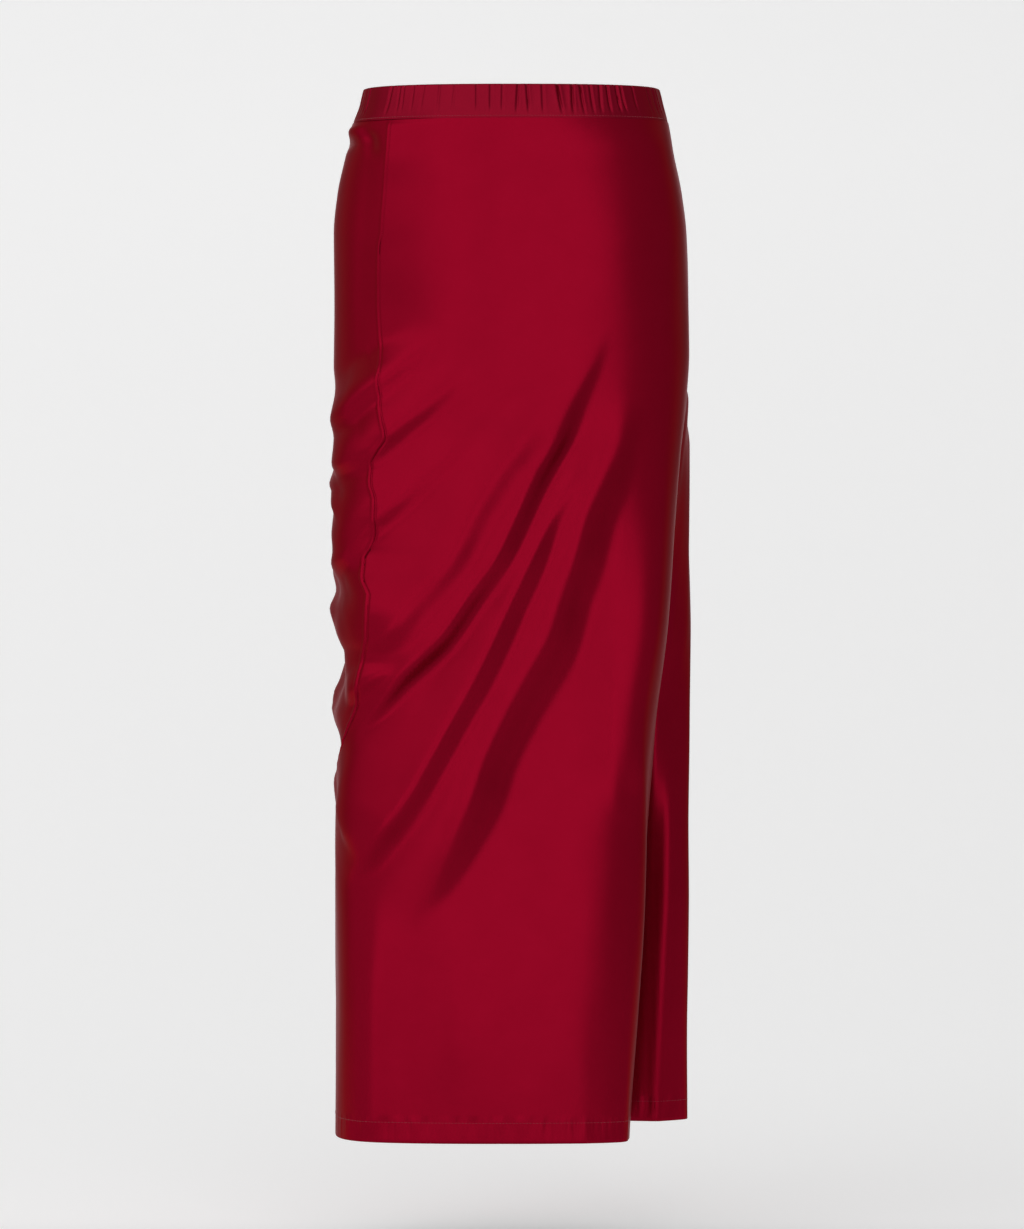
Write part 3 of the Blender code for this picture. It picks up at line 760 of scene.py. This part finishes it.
def satin_jersey(name, gloss, lit, deep):
    """Fine weft jersey with a satin face: tinted gloss, faint wales, a very slight unevenness, and
    small puckers where the hem is stitched."""
    material, t = new_material(name)
    cloth = t.add("ShaderNodeUVMap", {"uv_map": "cloth"}).outputs["UV"]
    down = t.add("ShaderNodeSeparateXYZ", Vector=cloth).outputs["Y"]
    above = t.add("ShaderNodeMapRange", {"interpolation_type": "SMOOTHSTEP"}, Value=down,
                  From_Min=(HEM - HEM_DEPTH - HEM_PUCKER_REACH) * MM,
                  From_Max=(HEM - HEM_DEPTH) * MM).outputs[0]
    below = t.add("ShaderNodeMapRange", {"interpolation_type": "SMOOTHSTEP"}, Value=down,
                  From_Min=(HEM - HEM_DEPTH) * MM, From_Max=HEM * MM, To_Min=1.0, To_Max=0.3).outputs[0]
    upright = t.add("ShaderNodeMapping", Vector=cloth, Scale=(95.0, 14.0, 1.0)).outputs["Vector"]
    gathers = t.add("ShaderNodeTexNoise", Vector=upright, Scale=1.0, Detail=1.5).outputs["Fac"]
    rise = t.add("ShaderNodeMapRange", Value=gathers, To_Min=-0.5, To_Max=0.5).outputs[0]
    pucker = t.times(t.times(above, below), rise)
    streaks = t.add("ShaderNodeMapping", Vector=cloth, Scale=(900.0, 45.0, 1.0)).outputs["Vector"]
    streak = t.add("ShaderNodeTexNoise", Vector=streaks, Scale=1.0, Detail=3.0).outputs["Fac"]
    cloud = t.add("ShaderNodeTexNoise", Vector=cloth, Scale=38.0, Detail=4.0, Roughness=0.55).outputs["Fac"]
    tone = t.add("ShaderNodeMix", {"data_type": "RGBA"}, Factor=cloud)
    t.put(tone.inputs[6], deep)
    t.put(tone.inputs[7], lit)
    rough = t.add("ShaderNodeMapRange", Value=streak, To_Min=gloss - GLOSS_SPREAD,
                  To_Max=gloss + GLOSS_SPREAD).outputs[0]
    wales = t.add("ShaderNodeTexWave", {"bands_direction": "X"}, Vector=cloth, Scale=330.0,
                  Distortion=0.4, Detail=1.0).outputs["Fac"]
    knit = t.add("ShaderNodeBump", Strength=0.12, Distance=0.0001, Height=wales).outputs["Normal"]
    uneven = t.add("ShaderNodeBump", Strength=0.22, Distance=0.0006, Height=cloud,
                   Normal=knit).outputs["Normal"]
    rumpled = t.add("ShaderNodeBump", Strength=0.8, Distance=0.003, Height=pucker,
                    Normal=uneven).outputs["Normal"]
    shader = t.add("ShaderNodeBsdfPrincipled", Base_Color=tone.outputs[2], Metallic=0.75, Roughness=rough,
                   Specular_IOR_Level=0.1, Specular_Tint=(0.4, 0.08, 0.1, 1.0), Normal=rumpled)
    t.add("ShaderNodeOutputMaterial", Surface=shader.outputs["BSDF"])
    return material


def sewing_thread():
    """The matt red thread of the hem and the waist seam, twisted along its length."""
    material, t = new_material("sewing_thread")
    place = t.add("ShaderNodeTexCoord").outputs["Object"]
    twist = t.add("ShaderNodeTexNoise", Vector=place, Scale=2600.0, Detail=1.0).outputs["Fac"]
    ply = t.add("ShaderNodeBump", Strength=0.4, Distance=0.0001, Height=twist).outputs["Normal"]
    shader = t.add("ShaderNodeBsdfPrincipled", Base_Color=THREAD_RED, Roughness=0.6, Sheen_Weight=0.3,
                   Specular_IOR_Level=0.3, Normal=ply)
    t.add("ShaderNodeOutputMaterial", Surface=shader.outputs["BSDF"])
    return material


def stitch_tree():
    """Stitches at an even spacing along an edge path, each a short round of thread."""
    tree = bpy.data.node_groups.new("stitches", "GeometryNodeTree")
    sockets = {}
    for name, kind, value in (("Path", "NodeSocketGeometry", None), ("Spacing", "NodeSocketFloat", 0.003),
                              ("Length", "NodeSocketFloat", 0.002), ("Thread", "NodeSocketFloat", 0.0004),
                              ("Material", "NodeSocketMaterial", None)):
        socket = tree.interface.new_socket(name, in_out="INPUT", socket_type=kind)
        sockets[name] = socket.identifier
        if value is not None:
            socket.default_value = value
    tree.interface.new_socket("Stitches", in_out="OUTPUT", socket_type="NodeSocketGeometry")
    t = Tree(tree)
    given = t.add("NodeGroupInput").outputs
    radius = t.times(given["Thread"], 0.5)
    line = t.add("GeometryNodeMeshToCurve", Mesh=given["Path"]).outputs["Curve"]
    spots = t.add("GeometryNodeCurveToPoints", {"mode": "LENGTH"}, Curve=line, Length=given["Spacing"])
    thread = t.add("GeometryNodeMeshCylinder", Vertices=6, Radius=radius,
                   Depth=given["Length"]).outputs["Mesh"]
    laid = t.add("GeometryNodeInstanceOnPoints", Points=spots.outputs["Points"], Instance=thread,
                 Rotation=spots.outputs["Rotation"]).outputs["Instances"]
    real = t.add("GeometryNodeRealizeInstances", Geometry=laid).outputs["Geometry"]
    soft = t.add("GeometryNodeSetShadeSmooth", Geometry=real).outputs["Geometry"]
    finished = t.add("GeometryNodeSetMaterial", Geometry=soft, Material=given["Material"]).outputs["Geometry"]
    t.add("NodeGroupOutput", Stitches=finished)
    return tree, sockets


def stitch_line(name, path, spacing, length, thread, material):
    """A row of stitches round a closed path, as a plain mesh."""
    count = len(path)
    mesh = bpy.data.meshes.new(name + "_path")
    mesh.from_pydata((path * MM).tolist(), [(i, (i + 1) % count) for i in range(count)], [])
    guide = bpy.data.objects.new(name + "_path", mesh)
    bpy.context.scene.collection.objects.link(guide)
    tree, sockets = STITCHES
    modifier = guide.modifiers.new("stitches", "NODES")
    modifier.node_group = tree
    for key, value in (("Spacing", spacing * MM), ("Length", length * MM), ("Thread", thread * MM),
                       ("Material", material)):
        modifier[sockets[key]] = value
    seen = guide.evaluated_get(bpy.context.evaluated_depsgraph_get())
    row = bpy.data.objects.new(name, bpy.data.meshes.new_from_object(seen))
    bpy.data.objects.remove(guide)
    bpy.context.scene.collection.objects.link(row)
    return row


def glowing_paper():
    """The plain pale floor and backdrop, with painted light: the sheet glows of its own, faintly in front of
    the skirt and more strongly behind it, and this glow also lights the skirt.
    """
    material, t = new_material("glowing_backdrop")
    place = t.add("ShaderNodeTexCoord").outputs["Object"]
    depth = t.add("ShaderNodeSeparateXYZ", Vector=place).outputs["Y"]
    # painted light: the sheet's own glow, weaker in front of the skirt than behind it
    glow = t.add("ShaderNodeMapRange", {"interpolation_type": "SMOOTHSTEP"}, Value=depth,
                 From_Min=-0.2, From_Max=0.2, To_Min=0.1, To_Max=0.33).outputs[0]
    shader = t.add("ShaderNodeBsdfPrincipled", Base_Color=(0.8, 0.8, 0.8, 1.0), Roughness=0.9,
                   Specular_IOR_Level=0.0, Emission_Color=(1.0, 1.0, 1.0, 1.0), Emission_Strength=glow)
    t.add("ShaderNodeOutputMaterial", Surface=shader.outputs["BSDF"])
    return material


# ---------------------------------------------------------------- studio

def camera():
    """The camera that takes the picture's view."""
    lens = bpy.data.cameras.new("view")
    lens.sensor_fit = "VERTICAL"
    lens.sensor_height = 36.0
    lens.lens = lens.sensor_height * VIEW_DISTANCE / FRAME_HEIGHT
    eye = bpy.data.objects.new("view", lens)
    eye.location = Vector((0, -VIEW_DISTANCE, -EYE_DROP)) * MM
    aim = Vector((0, 0, -AIM_DROP)) * MM
    eye.rotation_euler = (aim - eye.location).to_track_quat("-Z", "Y").to_euler()
    bpy.context.scene.collection.objects.link(eye)
    bpy.context.scene.camera = eye


def softbox(name, turn, distance, height, size, power):
    """A softbox round the skirt, facing it: turn 0 is straight in front, minus towards -X."""
    lamp = bpy.data.lights.new(name, "AREA")
    lamp.shape = "RECTANGLE"
    lamp.size, lamp.size_y = size
    lamp.energy = power
    box = bpy.data.objects.new(name, lamp)
    angle = math.radians(turn)
    box.location = (distance * math.sin(angle), -distance * math.cos(angle), height)
    aim = Vector((0.0, 0.0, min(height, 0.0))) - box.location
    box.rotation_euler = aim.to_track_quat("-Z", "Y").to_euler()
    box.visible_camera = False
    bpy.context.scene.collection.objects.link(box)


def backdrop():
    """A pale floor that sweeps up into a wall behind."""
    floor = -FLOOR_DROP * MM
    outline = [(SHEET_FRONT, floor), (SHEET_BEND, floor)]
    for step in range(1, SHEET_STEPS + 1):
        angle = math.pi / 2 * step / SHEET_STEPS
        outline.append((SHEET_BEND + SHEET_RADIUS * math.sin(angle),
                        floor + SHEET_RADIUS * (1 - math.cos(angle))))
    outline.append((SHEET_BEND + SHEET_RADIUS, SHEET_TOP))
    points = [(side, y, z) for y, z in outline for side in (-SHEET_HALF, SHEET_HALF)]
    faces = [(2 * i, 2 * i + 1, 2 * i + 3, 2 * i + 2) for i in range(len(outline) - 1)]
    mesh = bpy.data.meshes.new("backdrop")
    mesh.from_pydata(points, [], faces)
    mesh.shade_smooth()
    mesh.materials.append(glowing_paper())
    sheet = bpy.data.objects.new("backdrop", mesh)
    bpy.context.scene.collection.objects.link(sheet)


def studio():
    """The even light of the room and the softboxes."""
    scene = bpy.context.scene
    scene.view_settings.view_transform = "Standard"
    world = bpy.data.worlds.new("studio")
    world.use_nodes = True
    world.node_tree.nodes["Background"].inputs["Color"].default_value = (1, 1, 1, 1)
    world.node_tree.nodes["Background"].inputs["Strength"].default_value = WORLD_STRENGTH
    scene.world = world
    for name, turn, distance, height, wide, tall, power in SOFTBOXES:
        softbox(name, turn, distance, height, (wide, tall), power)


# ---------------------------------------------------------------- the skirt

camera()
studio()
backdrop()

cloth = satin_jersey("satin_jersey", gloss=0.34, lit=RED_LIT, deep=RED_DEEP)
band_cloth = satin_jersey("gathered_jersey", gloss=0.40, lit=BAND_LIT, deep=BAND_DEEP)

TUCKS = tuck_table()
surface, rounds, level = cloth_surface()
normals = outward(surface)
surface, normals, rounds, level = (np.concatenate([grid, grid[:, :1]], axis=1)
                                   for grid in (surface, normals, rounds, level))
front_part = slice(0, FRONT_COLUMNS + 1)
back_part = slice(FRONT_COLUMNS, FRONT_COLUMNS + BACK_COLUMNS + 1)

front_cloth = panel_piece("front_cloth", surface, normals, rounds, level, front_part, cloth)
back_cloth = panel_piece("back_cloth", surface, normals, rounds, level, back_part, cloth)
waist_cloth = waistband_piece(band_cloth)

thread = sewing_thread()
STITCHES = stitch_tree()
hem_row = int(np.abs(level[:, 0] - (HEM - HEM_DEPTH)).argmin())
hem_path = (surface + STITCH_RISE * normals)[hem_row, :-1]
hem_stitches = stitch_line("hem_stitches", hem_path, *HEM_STITCH, thread)
waist_stitches = stitch_line("waist_stitches", band_row(BAND_FOOT - WAIST_STITCHES), *WAIST_STITCH, thread)

for piece, node, slot in ((front_cloth, "front_panel", "skirt_cloth"),
                          (back_cloth, "back_panel", "skirt_cloth"),
                          (waist_cloth, "waistband", "band_cloth")):
    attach(piece, "root")
    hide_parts(node)

for row, slot in ((hem_stitches, "skirt_cloth"), (waist_stitches, "band_cloth")):
    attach(row, "root")
